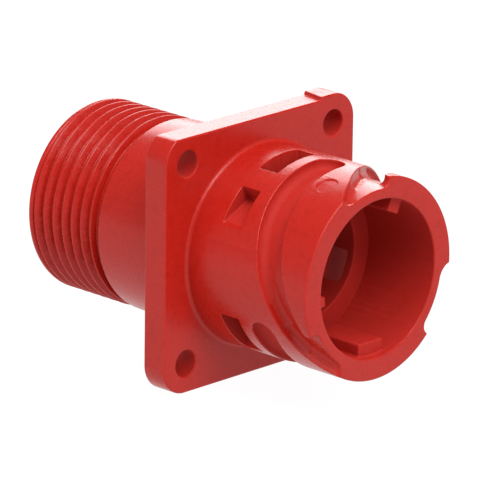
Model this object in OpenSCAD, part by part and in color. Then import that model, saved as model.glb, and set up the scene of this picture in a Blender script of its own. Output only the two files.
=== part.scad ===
// Square-flange bayonet receptacle shell of a circular connector.
// It is one moulding: a threaded rear barrel, a square mounting flange and a
// front shell with three bayonet tracks.
// The shell is drawn along +Z with z = 0 on the flange's front face, and is then
// laid down so that the mating end looks along -Y and the flange stands upright.

/* [Flange] */
// Side of the square mounting flange
flange_w = 32; // [30:0.1:36]
// Thickness of the flange
flange_t = 3.4; // [2.6:0.1:4.4]
// Radius of the flange's four corners
flange_corner_r = 3.5; // [2:0.1:4]
// Rounding of the flange's outer edges
flange_edge_r = 0.2; // [0.1:0.05:0.6]
// Distance between neighbouring screw holes
hole_pitch = 24.7; // [24.2:0.1:26]
// Diameter of the screw holes
hole_d = 3.3; // [2.8:0.1:3.6]
// Depth of the marking recess in the top edge
marking_depth = 0.4; // [0.2:0.05:0.8]
// Where the marking recess ends at the front face, from the middle of the flange
marking_end = 10.2; // [6:0.1:11]
// How far the recess's end wall slants outward on its way to the back face
marking_slant = 0.55; // [0:0.05:1]

/* [Front shell] */
// Outer diameter of the front shell
shell_d = 24.8; // [24.4:0.1:26]
// Length of the front shell ahead of the flange
shell_len = 19.4; // [18.5:0.1:22]
// Diameter of the mating cavity
cavity_d = 19.4; // [18.6:0.1:20]
// Height of the shoulder at the back of the mating cavity
shoulder_z = 8.6; // [8.4:0.1:9]
// Diameter of the throat behind the shoulder
throat_d = 14.6; // [13.6:0.1:15.2]
// Rounding of the front rim's outer edge
rim_r = 0.15; // [0.05:0.05:0.4]
// Rounding of the front rim's inner edge
mouth_r = 0.2; // [0.05:0.05:0.5]
// Fillet where the shell and the barrel meet the flange
root_fillet = 0.5; // [0.3:0.1:1]

/* [Bayonet tracks] */
// Diameter at the floor of the tracks and notches
track_floor_d = 22; // [21.4:0.1:22.8]
// Width of a track along the axis
track_w = 3.85; // [3.2:0.05:4.2]
// Height of the track's rear wall where the pin comes to rest
track_seat_z = 9.25; // [9:0.05:10]
// Angle at which the first track ends, counter-clockwise from the side
track_end = 82; // [70:1:90]
// Turn over which the track runs flat at its end
track_flat = 30; // [20:1:40]
// Turn over which the flat end bends into the full slope
track_blend = 92; // [80:1:96]
// Advance of the full slope in one turn
track_lead = 43.5; // [40:0.5:44]
// Turn from the track's end to the near wall of its entry notch
notch_from = 120.7; // [118:0.1:124]
// Turn that an entry notch covers at its floor
notch_sweep = 34.7; // [30:0.1:38]
// Turn from the track's end to the near wall of the wide entry notch
wide_notch_from = 113; // [110:0.5:118]
// Turn that the wide entry notch covers at its floor
wide_notch_sweep = 39; // [36:0.5:42]
// Lean of a notch's far wall, as the turn it gains from floor to rim
notch_lean = 3; // [0:0.1:4]

/* [Windows and side pockets] */
// Height of the windows and side pockets above the flange
window_z = 4.5; // [4:0.1:4.6]
// Length of the windows and side pockets along the axis
window_l = 2.95; // [2:0.05:3.4]
// Turn from a track's end to the near wall of its window
window_from = 0.8; // [0.2:0.1:3]
// Turn that a window covers
window_sweep = 30.6; // [26:0.1:33]
// Turn from a track's end to the steep wall of its side pocket
pocket_from = 46.5; // [44:0.5:50]
// Turn that a side pocket covers at the surface
pocket_sweep = 23.5; // [20:0.5:26]
// Depth of a side pocket at its steep wall, where its ramp ends
pocket_depth = 2.15; // [1.6:0.05:2.3]

/* [Keys] */
// Distance from the axis to the keys' inner faces
key_r = 7.95; // [7.4:0.05:8.6]
// How far the keys' front ends stand back from the front rim
key_setback = 1.1; // [0.6:0.1:2]
// Width of the main key
main_key_w = 4.1; // [3:0.1:5]
// Angle of the main key
main_key_at = 270; // [250:1:290]
// Width of the upper key
upper_key_w = 1.95; // [1.2:0.05:2.4]
// Angle of the upper key
upper_key_at = 65; // [55:1:75]
// Width of the side key
side_key_w = 1.25; // [1:0.05:2]
// Angle of the side key
side_key_at = 189; // [180:1:200]

/* [Rear barrel] */
// Length of the barrel behind the flange
barrel_len = 24.3; // [22:0.1:28]
// Barrel diameter where it meets the flange
barrel_d = 24.9; // [24.4:0.1:26]
// Major diameter of the outside thread
thread_d = 23.8; // [23:0.1:24.4]
// Depth of the outside thread, from crest to root
thread_depth = 0.9; // [0.8:0.05:1]
// Distance from one crest of the thread to the next
thread_pitch = 1.5875; // [1.5:0.0125:1.7]
// Width of the thread's flat crests
thread_crest = 0.24; // [0.15:0.01:0.3]
// Length of the threaded end, with its run-out
thread_len = 12.1; // [9:0.1:14]
// Run-out from the barrel's shoulder to the thread's first crest
runout_w = 1.25; // [0.8:0.05:2]
// Chamfer at the barrel's rear end
rear_chamfer = 0.3; // [0.1:0.05:0.5]
// Wall between the thread's root and the rear bore
rear_wall = 1.7; // [1.4:0.05:2.2]

/* [Hidden] */
red = [0.78, 0.16, 0.13];
round_fn = 96;          // round walls and bores
small_fn = 48;          // screw holes
starts = 3;             // bayonet tracks, evenly spaced
sweep_step = 4;         // turn between the sections of a track
end_lap = 0.5;          // turn by which a track starts inside its round end
flank_angle = 30;       // lean of the thread's flanks
over = 1;               // how far a cutter runs past what it cuts
sink = 0.5;             // how far a key runs on into the wall and the shoulder
shell_r = shell_d / 2;
cavity_r = cavity_d / 2;
throat_r = throat_d / 2;
track_r = track_floor_d / 2;
major_r = thread_d / 2;
root_r = major_r - thread_depth;
barrel_end_z = -flange_t - barrel_len;
thread_end_z = barrel_end_z + thread_len;

// Height of a track's rear wall at a turn from its end: flat, then an arc-like
// blend, then the full slope.
function track_z(turn) =
    let (slope = track_lead / 360, t = turn - track_flat)
    track_seat_z + (t <= 0 ? 0
        : t < track_blend ? slope * t * t / (2 * track_blend)
        : slope * (t - track_blend / 2));

// A point at a radius and an angle
function polar(r, a) = [r * cos(a), r * sin(a)];

// Solid swept along a track from one turn to another.  The section is a loop of
// [radius, height above the rear wall] points.
module track_sweep(section, from, to) {
    rings = max(1, ceil((to - from) / sweep_step));
    n = len(section);
    points = [for (i = [0:rings], p = section)
        let (turn = from + (to - from) * i / rings)
        [p[0] * cos(turn), p[0] * sin(turn), track_z(turn) + p[1]]];
    sides = [for (i = [0:rings - 1], j = [0:n - 1])
        let (k = (j + 1) % n)
        [i * n + j, i * n + k, (i + 1) * n + k, (i + 1) * n + j]];
    near = [for (j = [n - 1:-1:0]) j];
    far = [for (j = [0:n - 1]) rings * n + j];
    polyhedron(points, concat([near], sides, [far]), convexity = 6);
}

// Plate with rounded corners and rounded outer edges, standing on z = 0
module rounded_plate(w, t, corner_r, edge_r) {
    module edge_profile(half) {
        flat = half - edge_r;
        translate([0, edge_r]) square([half, t - 2 * edge_r]);
        square([flat, t]);
        for (y = [edge_r, t - edge_r])
            translate([flat, y]) circle(edge_r, $fn = small_fn);
    }
    inner = w / 2 - corner_r;
    for (side = [0:3]) rotate(90 * side) {
        rotate([90, 0, 0]) translate([0, 0, -inner])
            linear_extrude(2 * inner) edge_profile(w / 2);
        translate([inner, inner, 0]) rotate_extrude($fn = small_fn) edge_profile(corner_r);
    }
}

// Concave fillet ring round a cylinder that stands on a face at z = 0
module fillet_ring(r, f) {
    rotate_extrude($fn = round_fn) difference() {
        translate([r - over, -over]) square([f + over, f + over]);
        translate([r + f, f]) circle(f, $fn = small_fn);
    }
}

module flange() {
    translate([0, 0, -flange_t])
        rounded_plate(flange_w, flange_t, flange_corner_r, flange_edge_r);
    fillet_ring(shell_r, root_fillet);
    translate([0, 0, -flange_t]) mirror([0, 0, 1]) fillet_ring(barrel_d / 2, root_fillet);
}

module front_shell() {
    rotate_extrude($fn = round_fn) {
        translate([0, -over]) square([shell_r, shell_len + over - rim_r]);
        square([shell_r - rim_r, shell_len]);
        translate([shell_r - rim_r, shell_len - rim_r]) circle(rim_r, $fn = small_fn);
    }
}

// Tapered barrel and its threaded end.  The thread stands as separate rings of its
// true section and pitch, which keep one true round at the crests.
module rear_barrel() {
    flank = thread_depth * tan(flank_angle);
    room = thread_len - runout_w - thread_crest - flank - rear_chamfer;
    crests = floor(room / thread_pitch) + 1;
    rotate_extrude($fn = round_fn) polygon(concat(
        [[0, -over], [barrel_d / 2, -over], [barrel_d / 2, -flange_t],
            [major_r, thread_end_z], [root_r, thread_end_z]],
        [for (i = [0:crests - 1])
            let (top = thread_end_z - runout_w - i * thread_pitch, bottom = top - thread_crest)
            each [[root_r, top + flank], [major_r, top], [major_r, bottom], [root_r, bottom - flank]]],
        [[root_r, barrel_end_z + rear_chamfer], [root_r - rear_chamfer, barrel_end_z],
            [0, barrel_end_z]]));
}

// Entry notch from the front rim back to the track's rear wall
module entry_notch(from, sweep) {
    deep = track_r - over;
    out = shell_r + over;
    foot = polar(track_r, from + sweep);
    top = polar(shell_r, from + sweep + notch_lean);
    wall = top - foot;
    intersection() {
        translate([0, 0, track_seat_z]) linear_extrude(shell_len)
            polygon([[0, 0], polar(2 * shell_r, from), polar(3 * shell_r, from + sweep / 2),
                foot + 3 * wall, foot - wall]);
        track_sweep([[deep, 0], [out, 0], [out, shell_len], [deep, shell_len]],
            from - sweep_step, from + sweep + 4 * notch_lean);
    }
}

// One bayonet track with its round end, and its entry notch
module bayonet_track(from, sweep) {
    deep = track_r - over;
    out = shell_r + over;
    end_turn = track_w / 2 / shell_r * 180 / PI;
    track_sweep([[deep, 0], [out, 0], [out, track_w], [deep, track_w]],
        end_turn + end_lap, from + sweep / 2);
    rotate(end_turn) translate([deep * cos(2 * end_turn), 0, track_seat_z + track_w / 2])
        rotate([0, 90, 0]) cylinder(r = track_w / 2, h = out - deep + over, $fn = round_fn);
    entry_notch(from, sweep);
}

// All tracks, cut down to one round floor
module bayonet_tracks() {
    difference() {
        for (i = [0:starts - 1]) rotate(track_end + i * 360 / starts)
            if (i == 1) bayonet_track(wide_notch_from, wide_notch_sweep);
            else bayonet_track(notch_from, notch_sweep);
        cylinder(r = track_r, h = 2 * shell_len, $fn = round_fn);
    }
}

// Window behind the end of a track, with radial end walls, cut through to the throat
module window() {
    inner = throat_r - over;
    far = window_from + window_sweep;
    translate([0, 0, window_z]) linear_extrude(window_l)
        polygon([polar(inner, window_from), polar(2 * shell_r, window_from),
            polar(3 * shell_r, (window_from + far) / 2), polar(2 * shell_r, far), polar(inner, far)]);
}

// Blind side pocket with one steep wall and a ramp that comes up to the surface
module side_pocket() {
    corner = polar(shell_r - pocket_depth, pocket_from);
    foot = polar(shell_r, pocket_from + pocket_sweep);
    ramp = foot - corner;
    translate([0, 0, window_z]) linear_extrude(window_l)
        polygon([corner, polar(2 * shell_r, pocket_from), foot + 2 * ramp]);
}

module windows() {
    for (i = [0:starts - 1]) rotate(track_end + i * 360 / starts) {
        window();
        side_pocket();
    }
}

// Through bore: the mating cavity in front, the throat, and the rear bore behind it
module bores() {
    translate([0, 0, shoulder_z]) cylinder(r = cavity_r, h = shell_len, $fn = round_fn);
    translate([0, 0, -flange_t])
        cylinder(r = throat_r, h = flange_t + shoulder_z + over, $fn = round_fn);
    translate([0, 0, barrel_end_z - over])
        cylinder(r = root_r - rear_wall, h = barrel_len + flange_t / 2 + over, $fn = round_fn);
}

// Rounding of the cavity's mouth
module mouth_rounding() {
    translate([0, 0, shell_len]) rotate_extrude($fn = round_fn) difference() {
        translate([cavity_r - over, -mouth_r]) square([mouth_r + over, mouth_r + over]);
        translate([cavity_r + mouth_r, -mouth_r]) circle(mouth_r, $fn = small_fn);
    }
}

// A key stands on the cavity's wall and runs down to the shoulder
module key(w, at) {
    base_z = shoulder_z - sink;
    rotate(at) translate([key_r, -w / 2, base_z])
        cube([cavity_r + sink - key_r, w, shell_len - key_setback - base_z]);
}

module keys() {
    key(main_key_w, main_key_at);
    key(upper_key_w, upper_key_at);
    key(side_key_w, side_key_at);
}

module screw_holes() {
    for (x = [-1, 1], y = [-1, 1])
        translate([x * hole_pitch / 2, y * hole_pitch / 2, -flange_t - over])
            cylinder(d = hole_d, h = flange_t + 2 * over, $fn = small_fn);
}

// Shallow recess along the flange's top edge, with a slanted end wall
module marking_recess() {
    slant = marking_slant / flange_t;
    front_z = over;
    back_z = -flange_t - over;
    translate([0, flange_w, 0]) rotate([90, 0, 0])
        linear_extrude(flange_w / 2 + marking_depth)
        polygon([[-flange_w, front_z], [-flange_w, back_z],
            [marking_end - slant * back_z, back_z], [marking_end - slant * front_z, front_z]]);
}

module receptacle_shell() {
    color(red) rotate([90, 0, 0]) {
        difference() {
            union() {
                flange();
                front_shell();
                rear_barrel();
            }
            bayonet_tracks();
            windows();
            screw_holes();
            marking_recess();
            bores();
            mouth_rounding();
        }
        keys();
    }
}

receptacle_shell();
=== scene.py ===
import math
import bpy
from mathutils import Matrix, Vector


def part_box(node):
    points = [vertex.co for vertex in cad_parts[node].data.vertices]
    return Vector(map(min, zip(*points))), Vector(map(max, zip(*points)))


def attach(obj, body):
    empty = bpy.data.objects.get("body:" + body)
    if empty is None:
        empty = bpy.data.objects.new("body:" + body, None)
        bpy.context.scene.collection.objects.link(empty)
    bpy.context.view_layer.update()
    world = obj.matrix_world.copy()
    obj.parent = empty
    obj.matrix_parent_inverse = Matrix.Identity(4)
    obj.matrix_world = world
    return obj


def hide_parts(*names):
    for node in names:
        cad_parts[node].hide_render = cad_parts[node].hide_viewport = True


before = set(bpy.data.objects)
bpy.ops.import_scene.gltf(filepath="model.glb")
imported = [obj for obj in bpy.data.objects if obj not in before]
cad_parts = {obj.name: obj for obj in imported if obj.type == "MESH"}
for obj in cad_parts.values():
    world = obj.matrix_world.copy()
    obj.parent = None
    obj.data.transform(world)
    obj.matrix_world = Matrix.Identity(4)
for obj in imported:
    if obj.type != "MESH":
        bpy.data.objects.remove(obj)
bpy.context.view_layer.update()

from concurrent.futures import ThreadPoolExecutor

import bpy
import numpy as np
from mathutils import Matrix, Vector

scene = bpy.context.scene
print("stage: frame loaded")

# Sizes are in millimetres and degrees, and z runs from the flange's front face to the mating end.
# A shape is a distance: below zero inside it, above zero outside.
perMetre = 1000
third = 120      # degrees from one track, window or pocket to the next
farOff = 10.0    # a distance that means nothing is there yet


def roundMax(a, b, r):   # what two shapes share, with its edge rounded
    return np.minimum(np.maximum(a, b), -r) + np.hypot(np.maximum(a + r, 0), np.maximum(b + r, 0))


def roundMin(a, b, r):   # two shapes joined, with a fillet between them
    return -roundMax(-a, -b, r)


flange = {
    "half": 16.0, "thick": 3.4, "cornerR": 3.5, "edgeR": 0.2,
    "holeAt": 12.35, "holeR": 1.65, "holeEdge": 0.18,
    "recessDepth": 0.4, "recessEnd": 10.2, "recessSlant": 0.16, "recessEdge": 0.2,
}


def flangeShape(x, y, z):
    inner = flange["half"] - flange["cornerR"]
    ax, ay = np.abs(x) - inner, np.abs(y) - inner
    beyond = np.hypot(np.maximum(ax, 0), np.maximum(ay, 0))
    outline = beyond + np.minimum(np.maximum(ax, ay), 0) - flange["cornerR"]
    recess = roundMax(flange["half"] - flange["recessDepth"] - y,
                      x - flange["recessEnd"] + flange["recessSlant"] * z, flange["recessEdge"])
    outline = roundMax(outline, -recess, flange["recessEdge"])
    return roundMax(outline, np.abs(z + flange["thick"] / 2) - flange["thick"] / 2, flange["edgeR"])


barrel = {
    "length": 24.3, "rootR": 12.45, "endR": 11.9, "frontEnd": -1.0, "smoothEnd": -15.6, "shoulder": 0.35,
    "boreR": 9.3, "foot": 0.5, "rearEdge": 0.15, "chamfer": 0.35, "collar": 0.75,
}
thread = {
    "majorR": 11.9, "minorR": 11.0, "pitch": 1.5875, "crest": 0.24, "start": -16.6, "phase": -16.85,
    "phaseAt": 175.0, "crestEdge": 0.12, "rootFillet": 0.12, "runOut": 0.3,
}


def barrelShape(r, angle, z):   # its flanks drop sqrt(3) for each millimetre along, as on a 60 degree thread
    rear = -flange["thick"] - barrel["length"]
    taper = (barrel["rootR"] - barrel["endR"]) / (-flange["thick"] - barrel["smoothEnd"])
    smooth = roundMax(r - barrel["rootR"] - taper * (z + flange["thick"]), barrel["smoothEnd"] - z,
                      barrel["shoulder"])
    turns = (z - thread["phase"]) / thread["pitch"] - (angle - thread["phaseAt"]) / 360
    wave = np.abs(turns - np.round(turns)) * thread["pitch"]
    flank = (r - thread["majorR"] + (wave - thread["crest"] / 2) * math.sqrt(3)) / 2
    ridge = roundMax(r - thread["majorR"], flank, thread["crestEdge"])
    ridge = roundMax(ridge, z - thread["start"], thread["runOut"])
    collar = (r - thread["majorR"] + (z - rear - barrel["collar"]) * math.sqrt(3)) / 2
    ridge = np.minimum(ridge, roundMax(r - thread["majorR"], collar, thread["crestEdge"]))
    whole = roundMin(roundMin(ridge, r - thread["minorR"], thread["rootFillet"]), smooth, thread["runOut"])
    chamfer = (r - thread["majorR"] + barrel["chamfer"] - z + rear) / math.sqrt(2)
    whole = roundMax(whole, chamfer, thread["crestEdge"])
    return np.maximum(roundMax(whole, rear - z, barrel["rearEdge"]), z - barrel["frontEnd"])


front = {
    "shellR": 12.4, "length": 19.4, "rearEnd": -2.0, "cavityR": 9.7, "shoulderZ": 8.6, "throatR": 7.3,
    "rimEdge": 0.2, "mouthEdge": 0.18, "foot": 0.5,
}
track = {
    "floorR": 11.0, "width": 3.85, "seatZ": 9.25, "endAt": 82.0, "flat": 30.0, "blend": 92.0, "lead": 43.5,
    "notchFrom": 120.7, "notchSweep": 34.7, "wideFrom": 113.0, "wideSweep": 39.0, "lean": 3.0,
    "wideEnd": 1.0, "tip": 0.4, "corner": 0.35, "foot": 1.0, "edge": 0.15,
    "roundWithin": 90.0,   # past this turn a track has no round end
    "degreesPerMm": 5.0,   # roughly, around the shell
    "before": 10.0,        # a track's own third starts this far before its closed end
}


def trackHeight(turn):   # the track's rear wall, and the cosine of its slope
    slope = track["lead"] / 360
    t = turn - track["flat"]
    rise = np.where(t < 0, 0, np.where(t < track["blend"], slope * t * t / (2 * track["blend"]),
                                       slope * (t - track["blend"] / 2)))
    tilt = slope * np.clip(t / track["blend"], 0, 1) * math.degrees(1) / front["shellR"]
    return track["seatZ"] + rise, 1 / np.sqrt(1 + tilt * tilt)


def oneTrack(r, turn, z, wide):
    rear, cosine = trackHeight(turn)
    halfWidth = track["width"] / 2
    endTurn = math.degrees(halfWidth / front["shellR"]) + np.where(wide, track["wideEnd"], 0)
    along = r * np.sin(np.radians(turn - endTurn))
    roundEnd = np.hypot(along, z - track["seatZ"] - halfWidth) - halfWidth
    level = (np.abs(z - rear - halfWidth) - halfWidth) * cosine
    groove = np.where((along < 0) & (turn < track["roundWithin"]), roundEnd, level)
    begin = np.where(wide, track["wideFrom"], track["notchFrom"])
    sweep = np.where(wide, track["wideSweep"], track["notchSweep"])
    groove = np.maximum(groove, (turn - begin - sweep / 2) / track["degreesPerMm"])
    nearWall = -r * np.sin(np.radians(turn - begin))
    footAt, topAt = np.radians(begin + sweep), np.radians(begin + sweep + track["lean"])
    footX, footY = track["floorR"] * np.cos(footAt), track["floorR"] * np.sin(footAt)
    goX, goY = front["shellR"] * np.cos(topAt) - footX, front["shellR"] * np.sin(topAt) - footY
    pastX, pastY = r * np.cos(np.radians(turn)) - footX, r * np.sin(np.radians(turn)) - footY
    farWall = (pastY * goX - pastX * goY) / np.hypot(goX, goY)
    above = (z - rear) * cosine
    notch = roundMax(np.maximum(nearWall, farWall), -above, track["corner"])
    return roundMin(groove, notch, track["tip"])


def trackVoid(r, angle, z):   # the track that starts in this third, and the end of the one before it
    turn = angle - track["endAt"] + track["before"]
    index = np.floor(turn / third)
    turn = turn - index * third - track["before"]
    index = index % 3
    void = np.minimum(oneTrack(r, turn, z, index == 1), oneTrack(r, turn + third, z, index == 2))
    return roundMax(void, track["floorR"] - r, track["foot"])


window = {
    "z": 4.5, "length": 2.95, "from": (0.8, 3.4, 0.8), "sweep": 30.6,
    "pocketFrom": 46.5, "pocketSweep": 23.5, "pocketDepth": 2.15, "corner": 0.2, "edge": 0.12,
}


def polar(radius, at):
    return radius * math.cos(math.radians(at)), radius * math.sin(math.radians(at))


def radialWall(x, y, at):   # below zero past the half plane that stands on the axis at this angle
    return x * math.sin(math.radians(at)) - y * math.cos(math.radians(at))


def windowVoid(x, y, z):   # the three windows and the three blind pockets
    halfLength = window["length"] / 2
    height = np.abs(z - window["z"] - halfLength) - halfLength
    void = np.full_like(x, farOff)
    for i, start in enumerate(window["from"]):
        base = track["endAt"] + third * i
        near = base + start
        slot = roundMax(radialWall(x, y, near), -radialWall(x, y, near + window["sweep"]), window["corner"])
        void = np.minimum(void, roundMax(slot, height, window["corner"]))
        steep = base + window["pocketFrom"]
        bottomX, bottomY = polar(front["shellR"] - window["pocketDepth"], steep)
        topX, topY = polar(front["shellR"], steep + window["pocketSweep"])
        rampX, rampY = topX - bottomX, topY - bottomY
        ramp = ((y - bottomY) * rampX - (x - bottomX) * rampY) / math.hypot(rampX, rampY)
        pocket = roundMax(radialWall(x, y, steep), ramp, window["corner"])
        void = np.minimum(void, roundMax(pocket, height, window["corner"]))
    return void


roundMark = {"at": 111.5, "z": 15.1, "radius": 1.3, "depth": 0.16, "edge": 0.08}


def markVoid(r, angle, z):   # a shallow round dish
    across = np.radians(angle - roundMark["at"]) * front["shellR"]
    away = np.hypot(across, z - roundMark["z"])
    return roundMax(away - roundMark["radius"], front["shellR"] - roundMark["depth"] - r, roundMark["edge"])


keyBars = {
    "innerR": 7.95, "sink": 0.5, "setback": 1.1, "edge": 0.15, "foot": 0.25,
    "bars": [(4.1, 270.0), (1.95, 65.0), (1.25, 189.0)],   # width, angle
}


def keyShape(x, y, z):
    top, base = front["length"] - keyBars["setback"], front["shoulderZ"] - keyBars["sink"]
    shape = np.full_like(x, farOff)
    for width, at in keyBars["bars"]:
        a = math.radians(at)
        out, side = x * math.cos(a) + y * math.sin(a), y * math.cos(a) - x * math.sin(a)
        bar = roundMax(np.abs(side) - width / 2, np.maximum(z - top, base - z), keyBars["edge"])
        bar = roundMax(bar, keyBars["innerR"] - out, keyBars["edge"])
        shape = np.minimum(shape, np.maximum(bar, out - front["cavityR"] - keyBars["sink"]))
    return shape


def boreVoid(r, z):
    cavity = np.maximum(r - front["cavityR"], front["shoulderZ"] - z)
    rear = np.maximum(r - barrel["boreR"], z + flange["thick"] / 2)
    return roundMin(roundMin(r - front["throatR"], cavity, front["mouthEdge"]), rear, front["mouthEdge"])


def shellShape(points):
    x, y, z = points[:, 0], points[:, 1], points[:, 2]
    r, angle = np.hypot(x, y), np.degrees(np.arctan2(y, x))
    tube = roundMax(r - front["shellR"], z - front["length"], front["rimEdge"])
    tube = np.maximum(tube, front["rearEnd"] - z)
    tube = roundMax(tube, -trackVoid(r, angle, z), track["edge"])
    tube = roundMax(tube, -markVoid(r, angle, z), roundMark["edge"])
    body = roundMin(flangeShape(x, y, z), tube, front["foot"])
    body = roundMin(body, barrelShape(r, angle, z), barrel["foot"])
    body = roundMax(body, -windowVoid(x, y, z), window["edge"])
    for sx in (-1, 1):
        for sy in (-1, 1):
            hole = np.hypot(x - sx * flange["holeAt"], y - sy * flange["holeAt"]) - flange["holeR"]
            body = roundMax(body, -hole, flange["holeEdge"])
    body = roundMax(body, -boreVoid(r, z), front["mouthEdge"])
    return roundMin(body, keyShape(x, y, z), keyBars["foot"])


meshing = {
    "coarse": 1.6, "halvings": 4, "quickHalvings": 3,
    "reach": 1.3,          # how near the surface a cell's middle has to be, in cell sizes
    "marginLow": 0.37, "marginHigh": 0.41,
    "slice": 30000, "threads": 4,
    "step": 0.01, "leastSlope": 0.05, "longestMove": 0.1,
    "netRounds": 1, "leanRounds": 2,
    "triangles": 190000,   # the thinning's aim; at full detail it leaves about 155,000
}


def distance(points):
    parts = np.array_split(points, max(1, len(points) // meshing["slice"]))
    with ThreadPoolExecutor(meshing["threads"]) as pool:
        return np.concatenate(list(pool.map(shellShape, parts)))


def gradient(points):
    step = meshing["step"]
    corners = np.array([[1, -1, -1], [-1, -1, 1], [-1, 1, -1], [1, 1, 1]], float)
    slope = sum(c * distance(points + c * step)[:, None] for c in corners)
    return slope / (4 * step)


def ontoSurface(points, rounds):
    for _ in range(rounds):
        slope = gradient(points)
        size = np.maximum((slope * slope).sum(1), meshing["leastSlope"])
        move = slope * (distance(points) / size)[:, None]
        points = points - np.clip(move, -meshing["longestMove"], meshing["longestMove"])
    return points


# One point in each cell that the surface crosses, joined in fours.
def surfaceNet(low, high, size, halvings):
    count = np.ceil((high - low) / size).astype(int)
    cells = np.stack(np.meshgrid(*[np.arange(n) for n in count], indexing="ij"), -1).reshape(-1, 3)
    eight = np.array([[i, j, k] for i in (0, 1) for j in (0, 1) for k in (0, 1)])
    for halving in range(halvings + 1):
        if halving:
            cells = (cells[:, None, :] * 2 + eight).reshape(-1, 3)
            size /= 2
        near = np.abs(distance(low + (cells + 0.5) * size)) < size * meshing["reach"]
        cells = cells[near]
    span = count * 2 ** halvings + 2
    stride = np.array([span[1] * span[2], span[2], 1])
    cellKeys = np.sort(cells @ stride)
    corners = np.unique((cellKeys[:, None] + eight @ stride).ravel())
    place = np.stack([corners // stride[0], corners // stride[1] % span[1], corners % span[2]], -1)
    value = distance(low + place * size)
    sums, hits, quads = np.zeros((len(cellKeys), 3)), np.zeros(len(cellKeys)), []
    for axis in range(3):
        other = np.minimum(np.searchsorted(corners, corners + stride[axis]), len(corners) - 1)
        isNext = corners[other] == corners + stride[axis]
        start = np.nonzero(isNext & ((value < 0) != (value[other] < 0)))[0]
        a, b = value[start], value[other[start]]
        cross = place[start].astype(float)
        cross[:, axis] += a / (a - b)
        u, v = stride[(axis + 1) % 3], stride[(axis + 2) % 3]
        ring = corners[start][:, None] - np.array([0, u, u + v, v])
        index = np.minimum(np.searchsorted(cellKeys, ring), len(cellKeys) - 1)
        whole = (cellKeys[index] == ring).all(1)
        index, cross, a = index[whole], cross[whole], a[whole]
        for corner in range(4):
            for k in range(3):
                sums[:, k] += np.bincount(index[:, corner], cross[:, k], len(cellKeys))
            hits += np.bincount(index[:, corner], minlength=len(cellKeys))
        quads.append(np.where((a < 0)[:, None], index, index[:, ::-1]))
    used = hits > 0
    renumber = np.cumsum(used) - 1
    return low + sums[used] / hits[used, None] * size, renumber[np.concatenate(quads)]


def meshOf(name, points, faces):
    mesh = bpy.data.meshes.new(name)
    sides = faces.shape[1]
    mesh.vertices.add(len(points))
    mesh.vertices.foreach_set("co", points.astype(np.float32).ravel())
    mesh.loops.add(faces.size)
    mesh.loops.foreach_set("vertex_index", faces.astype(np.int32).ravel())
    mesh.polygons.add(len(faces))
    mesh.polygons.foreach_set("loop_start", np.arange(0, faces.size, sides, dtype=np.int32))
    mesh.update(calc_edges=True)
    mesh.validate()
    return mesh


def pointsOf(mesh):
    co = np.zeros(len(mesh.vertices) * 3, np.float32)
    mesh.vertices.foreach_get("co", co)
    return co.reshape(-1, 3).astype(float)


def intoFrame(vectors):   # the mating end's direction, z here, is -y in the frame
    return vectors[:, [0, 2, 1]] * [1, -1, 1]


def makeShell():
    halvings = meshing["halvings"]
    low, high = (Vector(b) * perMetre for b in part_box("receptacle_shell"))
    netLow = np.array([low.x, low.z, -high.y]) - meshing["marginLow"]
    netHigh = np.array([high.x, high.z, -low.y]) + meshing["marginHigh"]
    points, quads = surfaceNet(netLow, netHigh, meshing["coarse"], halvings)
    points = ontoSurface(points, meshing["netRounds"])
    print("stage: net of", len(points), "points")
    rough = bpy.data.objects.new("roughShell", meshOf("roughShell", points, quads))
    scene.collection.objects.link(rough)
    thin = rough.modifiers.new("thin", "DECIMATE")
    thin.ratio = min(1, meshing["triangles"] / (2 * len(quads)))
    lean = bpy.data.meshes.new_from_object(rough.evaluated_get(bpy.context.evaluated_depsgraph_get()))
    bpy.data.objects.remove(rough)
    points = ontoSurface(pointsOf(lean), meshing["leanRounds"])
    normals = gradient(points)
    normals /= np.linalg.norm(normals, axis=1)[:, None]
    boxLow, boxHigh = (np.array(b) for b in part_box("receptacle_shell"))
    placed = np.clip(intoFrame(points) / perMetre, boxLow, boxHigh)
    lean.vertices.foreach_set("co", placed.astype(np.float32).ravel())
    lean.update()
    lean.shade_smooth()
    lean.normals_split_custom_set_from_vertices(intoFrame(normals).tolist())
    shell = bpy.data.objects.new("receptacle_moulding", lean)
    scene.collection.objects.link(shell)
    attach(shell, "root")
    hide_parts("receptacle_shell")
    print("stage: shell of", len(lean.polygons), "faces")
    return shell


def setStops(elements, stops):
    for at, _ in stops[1:-1]:
        elements.new(at)
    for element, (at, colour) in zip(elements, stops):
        element.position, element.color = at, colour


class Wire:   # a shader socket that takes part in sums
    def __init__(self, socket):
        self.socket = socket

    def make(self, kind, settings, values, out=0):
        tree = self.socket.id_data
        node = tree.nodes.new("ShaderNode" + kind)
        for name, value in settings.items():
            if name == "stops":
                setStops(node.color_ramp.elements, value)
            else:
                setattr(node, name, value)
        for key, value in values.items():
            if isinstance(value, Wire):
                tree.links.new(value.socket, node.inputs[key])
            else:
                node.inputs[key].default_value = value
        return Wire(node.outputs[out])

    def maths(self, operation, a, b=0.0):
        return self.make("Math", {"operation": operation}, {0: a, 1: b})

    def __add__(self, other):
        return self.maths("ADD", self, other)

    def __sub__(self, other):
        return self.maths("SUBTRACT", self, other)

    def __rsub__(self, other):
        return self.maths("SUBTRACT", other, self)

    def __mul__(self, other):
        return self.maths("MULTIPLY", self, other)

    __radd__, __rmul__ = __add__, __mul__

    def __abs__(self):
        return self.maths("ABSOLUTE", self)

    def below(self, limit):
        return self.maths("LESS_THAN", self, limit)

    def length(self, other):
        return self.maths("SQRT", self * self + other * other)

    def clamp(self):
        return self.make("Clamp", {}, {"Value": self})

    def mix(self, low, high):   # the node's colours are its sockets 6 and 7, and its result 2
        return self.make("Mix", {"data_type": "RGBA"}, {"Factor": self, 6: low, 7: high}, out=2)

    def into(self, node, socket):
        self.socket.id_data.links.new(self.socket, node.inputs[socket])


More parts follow.
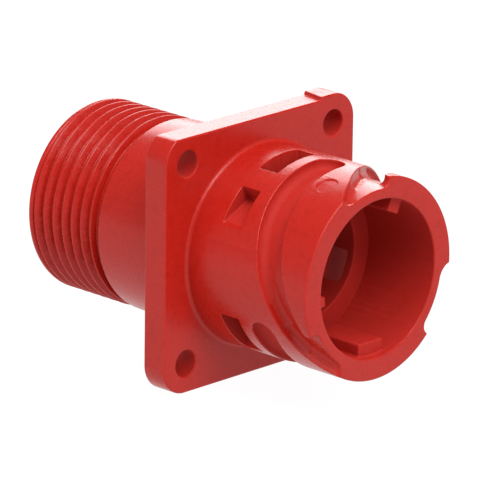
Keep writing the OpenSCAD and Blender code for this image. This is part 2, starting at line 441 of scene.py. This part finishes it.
def newMaterial(name, **values):
    material = bpy.data.materials.new(name)
    material.use_nodes = True
    shader = material.node_tree.nodes["Principled BSDF"]
    for key, value in values.items():
        shader.inputs[key.replace("_", " ")].default_value = value
    place = material.node_tree.nodes.new("ShaderNodeTexCoord")
    return material, shader, Wire(place.outputs["Object"])


redPlastic = {
    "red": (0.365, 0.011, 0.006, 1), "deepRed": (0.335, 0.009, 0.005, 1), "paleRed": (0.52, 0.055, 0.035, 1),
    "deepAt": 0.3, "redAt": 0.5, "redTo": 0.75,
    "cloud": {"Scale": 900, "Detail": 3.0, "Roughness": 0.6},
    "grain": {"Scale": 5500, "Detail": 2.0, "Roughness": 0.5},
    "speckSize": 4200, "speckEdge": 0.16, "speckCore": 0.05, "speckShare": 0.35,
    "ior": 1.33, "roughness": 0.27, "grainRoughness": 0.16, "cloudRoughness": 0.1, "dullness": 0.45,
    "bump": 0.28, "bumpDepth": 0.00004, "bumpCloud": 0.8,
}
dullPlaces = {   # margins around the walls, and from and to as heights above the flange
    "boreMargin": 0.05, "holeMargin": 0.1, "trackDepth": 0.25, "trackFrom": 0.1, "trackTo": 13.2,
}


def recessed(place):   # one in the bore, the screw holes, the windows and the level ends of the tracks
    x, y, z = (place.make("SeparateXYZ", {}, {"Vector": place}, out=k) for k in range(3))
    radius = x.length(z)
    bore = radius.below((front["cavityR"] + dullPlaces["boreMargin"]) / perMetre)
    inside = radius.below((front["shellR"] - dullPlaces["trackDepth"]) / perMetre)
    ahead = y.below(-dullPlaces["trackFrom"] / perMetre)
    level = (-dullPlaces["trackTo"] / perMetre - y).below(0)
    holeAt, holeR = flange["holeAt"] / perMetre, (flange["holeR"] + dullPlaces["holeMargin"]) / perMetre
    hole = (abs(x) - holeAt).length(abs(z) - holeAt).below(holeR)
    return (bore + inside * ahead * level + hole).clamp()


def makeRedPlastic():
    p = redPlastic
    material, shader, place = newMaterial("red_plastic_finish", IOR=p["ior"])
    cloud = place.make("TexNoise", {}, {"Vector": place, **p["cloud"]})
    grain = place.make("TexNoise", {}, {"Vector": place, **p["grain"]})
    speck = place.make("TexVoronoi", {}, {"Vector": place, "Scale": p["speckSize"]})
    stops = [(p["deepAt"], p["deepRed"]), (p["redAt"], p["red"]), (p["redTo"], p["red"])]
    base = place.make("ValToRGB", {"stops": stops}, {"Fac": cloud})
    fleck = place.make("MapRange", {}, {
        "Value": speck, "From Min": p["speckEdge"], "From Max": p["speckCore"],
        "To Min": 0.0, "To Max": p["speckShare"],
    })
    fleck.mix(base, p["paleRed"]).into(shader, "Base Color")
    steady = p["roughness"] - (p["grainRoughness"] + p["cloudRoughness"]) / 2   # noise lies around one half
    uneven = grain * p["grainRoughness"] + cloud * p["cloudRoughness"] + steady
    (uneven + recessed(place) * p["dullness"]).into(shader, "Roughness")
    bump = place.make("Bump", {}, {
        "Strength": p["bump"], "Distance": p["bumpDepth"], "Height": grain + cloud * p["bumpCloud"],
    })
    bump.into(shader, "Normal")
    return material


white = (1, 1, 1, 1)
room = {
    "floorSize": 3.0, "paper": (0.02, 0.02, 0.02, 1), "palePaper": (0.03, 0.03, 0.03, 1),
    "paperAt": 0.2, "palePaperAt": 0.8, "fibre": {"Scale": 40.0, "Detail": 3.0},
    "roughness": 0.9, "glow": 0.97, "worldStrength": 0.38,
}


def makeRoom():
    half, floorZ = room["floorSize"] / 2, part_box("receptacle_shell")[0].z
    corners = [(sx * half, sy * half, floorZ) for sx, sy in ((-1, -1), (1, -1), (1, 1), (-1, 1))]
    mesh = bpy.data.meshes.new("floor")
    mesh.from_pydata(corners, [], [(0, 1, 2, 3)])
    floor = bpy.data.objects.new("floor", mesh)
    scene.collection.objects.link(floor)
    material, shader, place = newMaterial("floor_paper", Roughness=room["roughness"], Emission_Color=white,
                                          Emission_Strength=room["glow"])
    tone = place.make("TexNoise", {}, {"Vector": place, **room["fibre"]})
    stops = [(room["paperAt"], room["paper"]), (room["palePaperAt"], room["palePaper"])]
    place.make("ValToRGB", {"stops": stops}, {"Fac": tone}).into(shader, "Base Color")
    mesh.materials.append(material)
    world = bpy.data.worlds.new("studio")
    scene.world = world
    world.use_nodes = True
    back = world.node_tree.nodes["Background"]
    back.inputs["Color"].default_value = white
    back.inputs["Strength"].default_value = room["worldStrength"]


def outwards(azimuth, elevation):   # azimuth from the front, and elevation, in degrees
    a, e = math.radians(azimuth), math.radians(elevation)
    return Vector((math.sin(a) * math.cos(e), -math.cos(a) * math.cos(e), math.sin(e)))


lamps = [
    # name, azimuth, elevation, distance, size, power, whether it shows as a gloss
    ("keyBox", -20, 50, 0.7, 0.35, 3.9, True),
    ("frontBox", -5, 10, 0.8, 0.5, 1.3, True),
    ("leftBox", -105, 8, 0.7, 0.6, 3.0, False),
    ("rightBox", 50, 60, 0.7, 0.4, 1.5, False),
    ("topBox", -40, 78, 0.6, 0.3, 1.3, True),
    ("backBox", 134, 24, 0.8, 0.5, 4.0, True),
]


def makeLamps():
    for name, azimuth, elevation, away, size, power, gloss in lamps:
        light = bpy.data.lights.new(name, "AREA")
        light.size, light.energy = size, power
        towards = outwards(azimuth, elevation)
        lamp = bpy.data.objects.new(name, light)
        lamp.visible_glossy = gloss
        lamp.location = towards * away
        lamp.rotation_euler = towards.to_track_quat("Z", "Y").to_euler()
        scene.collection.objects.link(lamp)


camera = {
    "lens": 470.2, "sensor": 36, "near": 0.01, "far": 20,
    "azimuth": -45.83, "elevation": 17.65, "roll": 0.754,
    "away": 0.7473, "right": -0.00237, "up": 0.00031,
}


def makeCamera():
    data = bpy.data.cameras.new("camera")
    data.lens, data.sensor_width = camera["lens"], camera["sensor"]
    data.clip_start, data.clip_end = camera["near"], camera["far"]
    back = outwards(camera["azimuth"], camera["elevation"])
    right = Vector((0, 0, 1)).cross(back).normalized()
    up = back.cross(right)
    roll = math.radians(camera["roll"])
    right, up = right * math.cos(roll) + up * math.sin(roll), up * math.cos(roll) - right * math.sin(roll)
    eyeAt = right * camera["right"] + up * camera["up"] + back * camera["away"]
    turned = Matrix((right, up, back)).transposed().to_4x4()
    eye = bpy.data.objects.new("camera", data)
    eye.matrix_world = Matrix.Translation(eyeAt) @ turned
    scene.collection.objects.link(eye)
    scene.camera = eye


makeRoom()
makeLamps()
makeCamera()
scene.view_settings.view_transform = "Standard"
print("stage: room, lamps and camera")
shell = makeShell()
shell.data.materials.append(makeRedPlastic())
